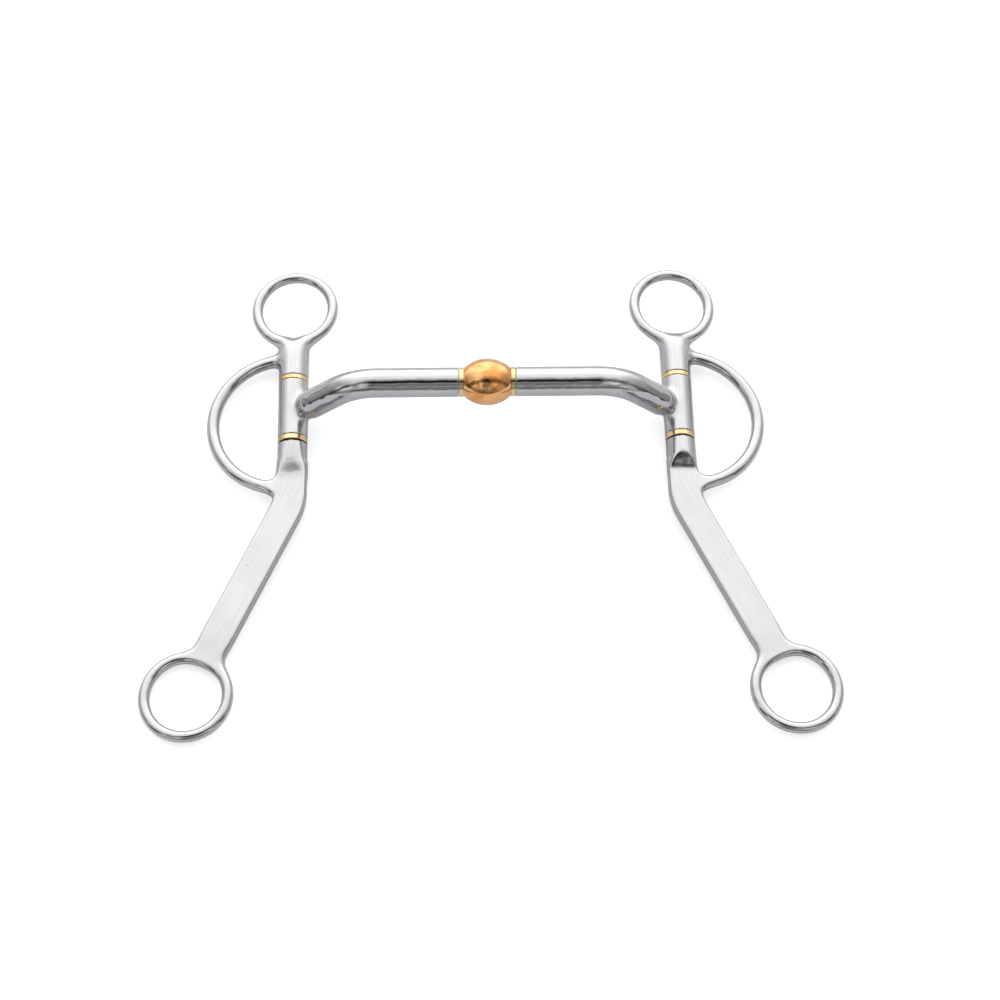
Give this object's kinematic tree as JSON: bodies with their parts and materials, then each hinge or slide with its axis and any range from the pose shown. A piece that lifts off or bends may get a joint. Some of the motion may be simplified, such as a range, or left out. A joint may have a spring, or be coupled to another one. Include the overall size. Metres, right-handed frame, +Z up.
{
  "type": "curb bit",
  "caption": "Loose-cheek D curb bit: arched swivel mouthpiece with a copper roller, round headstall rings, wire hoops and flat swept shanks with rein rings.",
  "frame": {"origin": "on the surface that the bit lies on, under the middle of its bounding box", "axes": "+X along the mouthpiece from the left cheek to the right cheek, +Y along the sleeves towards the headstall rings, +Z up"},
  "size_m": [0.2388, 0.1812, 0.034],
  "materials": {
    "stainless": "polished",
    "brass": "polished",
    "copper": "polished copper"
  },
  "bodies": {
    "left_mouthpiece": {"left_cannon": "stainless", "centre_pin": "stainless"},
    "right_mouthpiece": {"right_cannon": "stainless", "keeper_pin": "stainless"},
    "roller": {"copper_roller": "copper"},
    "left_roller_washer": {"left_roller_washer": "brass"},
    "right_roller_washer": {"right_roller_washer": "brass"},
    "left_cheek": {"left_cheek": "stainless", "left_pivot_pin": "stainless"},
    "left_upper_washer": {"left_upper_washer": "brass"},
    "left_lower_washer": {"left_lower_washer": "brass"},
    "right_cheek": {"right_cheek": "stainless", "right_pivot_pin": "stainless"},
    "right_upper_washer": {"right_upper_washer": "brass"},
    "right_lower_washer": {"right_lower_washer": "brass"}
  },
  "joints": [
    {"name": "mouthpiece_swivel", "type": "hinge", "parent": "left_mouthpiece", "child": "right_mouthpiece", "pos_m": [0, 0.03283, 0.0258], "axis": [1, 0, 0], "continuous": true},
    {"name": "roller_spin", "type": "hinge", "parent": "left_mouthpiece", "child": "roller", "pos_m": [0, 0.03283, 0.0258], "axis": [1, 0, 0], "continuous": true},
    {"name": "left_roller_washer_spin", "type": "hinge", "parent": "left_mouthpiece", "child": "left_roller_washer", "pos_m": [-0.009, 0.03283, 0.0258], "axis": [1, 0, 0], "continuous": true},
    {"name": "right_roller_washer_spin", "type": "hinge", "parent": "left_mouthpiece", "child": "right_roller_washer", "pos_m": [0.009, 0.03283, 0.0258], "axis": [1, 0, 0], "continuous": true},
    {"name": "left_cheek_swing", "type": "hinge", "parent": "left_mouthpiece", "child": "left_cheek", "pos_m": [-0.069, 0.03283, 0.0053], "axis": [0, 1, 0], "range_deg": [-198, 124]},
    {"name": "left_upper_washer_spin", "type": "hinge", "parent": "left_mouthpiece", "child": "left_upper_washer", "pos_m": [-0.069, 0.04483, 0.0053], "axis": [0, 1, 0], "continuous": true},
    {"name": "left_lower_washer_spin", "type": "hinge", "parent": "left_mouthpiece", "child": "left_lower_washer", "pos_m": [-0.069, 0.02063, 0.0053], "axis": [0, 1, 0], "continuous": true},
    {"name": "right_cheek_swing", "type": "hinge", "parent": "right_mouthpiece", "child": "right_cheek", "pos_m": [0.069, 0.03283, 0.0053], "axis": [0, -1, 0], "range_deg": [-198, 124]},
    {"name": "right_upper_washer_spin", "type": "hinge", "parent": "right_mouthpiece", "child": "right_upper_washer", "pos_m": [0.069, 0.04483, 0.0053], "axis": [0, -1, 0], "continuous": true},
    {"name": "right_lower_washer_spin", "type": "hinge", "parent": "right_mouthpiece", "child": "right_lower_washer", "pos_m": [0.069, 0.02063, 0.0053], "axis": [0, -1, 0], "continuous": true}
  ]
}
